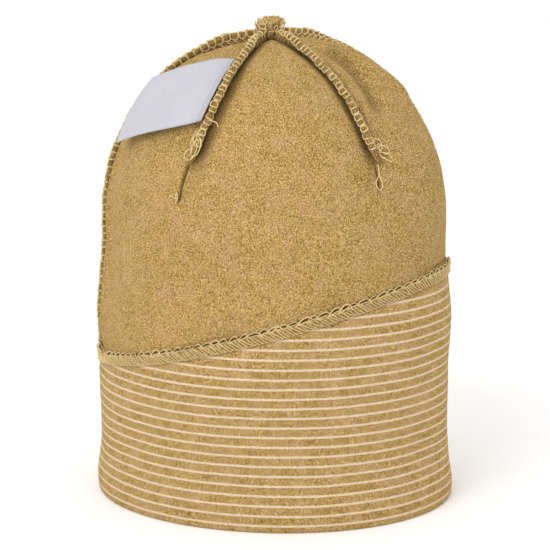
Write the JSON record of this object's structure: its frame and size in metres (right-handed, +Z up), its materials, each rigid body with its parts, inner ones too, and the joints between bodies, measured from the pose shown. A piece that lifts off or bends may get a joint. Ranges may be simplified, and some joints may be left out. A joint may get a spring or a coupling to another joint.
{
  "type": "beanie",
  "caption": "Child's jersey beanie turned inside out, with overlocked crown seams, a slanted striped band folded at the rim and a woven label.",
  "frame": {"origin": "middle of the bounding box's underside, which is the plane the rim stands on", "axes": "+Z up through the crown, the hat's front faces -Y and is where the band is highest, its low back is at +Y, and the head's width is along X"},
  "size_m": [0.135, 0.1579, 0.2063],
  "materials": {
    "ochre_jersey": "heather jersey, matt",
    "striped_jersey": "heather jersey with thin cream stripes, matt",
    "overlock_thread": "cotton thread, matt",
    "label_ribbon": "woven satin ribbon"
  },
  "bodies": {
    "root": {"crown": "ochre_jersey", "band": "striped_jersey", "band_seam": "overlock_thread", "back_seam": "overlock_thread", "dart_right": "overlock_thread", "dart_front_right": "overlock_thread", "dart_front_left": "overlock_thread", "dart_left": "overlock_thread", "dart_back_left": "overlock_thread", "seam_knot": "overlock_thread", "label": "label_ribbon"}
  },
  "joints": []
}
